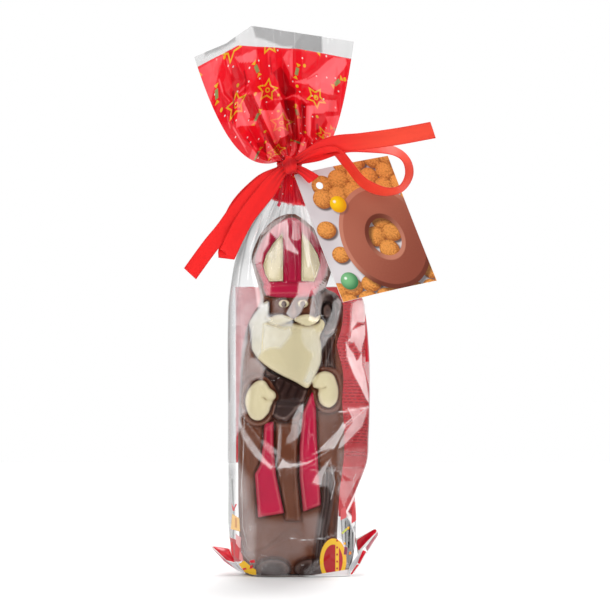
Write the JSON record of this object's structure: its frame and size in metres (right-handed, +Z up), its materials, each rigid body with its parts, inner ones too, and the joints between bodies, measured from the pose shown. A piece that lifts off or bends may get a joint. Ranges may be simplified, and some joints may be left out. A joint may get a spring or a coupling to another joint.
{
  "type": "saint nicholas chocolate figure",
  "caption": "Hollow moulded chocolate bishop figure in a clear block-bottom gift bag, gathered under a pleated ruff and tied with a satin ribbon bow and a hanging card.",
  "frame": {"origin": "centre of the bag's flat bottom, on the surface it stands on", "axes": "+Z up through the ruff, front of the figure towards -Y, +X to the right in the front view"},
  "size_m": [0.1515, 0.0572, 0.3295],
  "materials": {
    "bag_film": "clear glossy film with red print, seen over a moulded milk, white and dark chocolate figure",
    "satin_ribbon": "red satin ribbon with a soft sheen",
    "printed_card": "glossy printed card, white on the back"
  },
  "bodies": {
    "root": {"bag": "bag_film", "ribbon": "satin_ribbon", "card": "printed_card"}
  },
  "joints": []
}
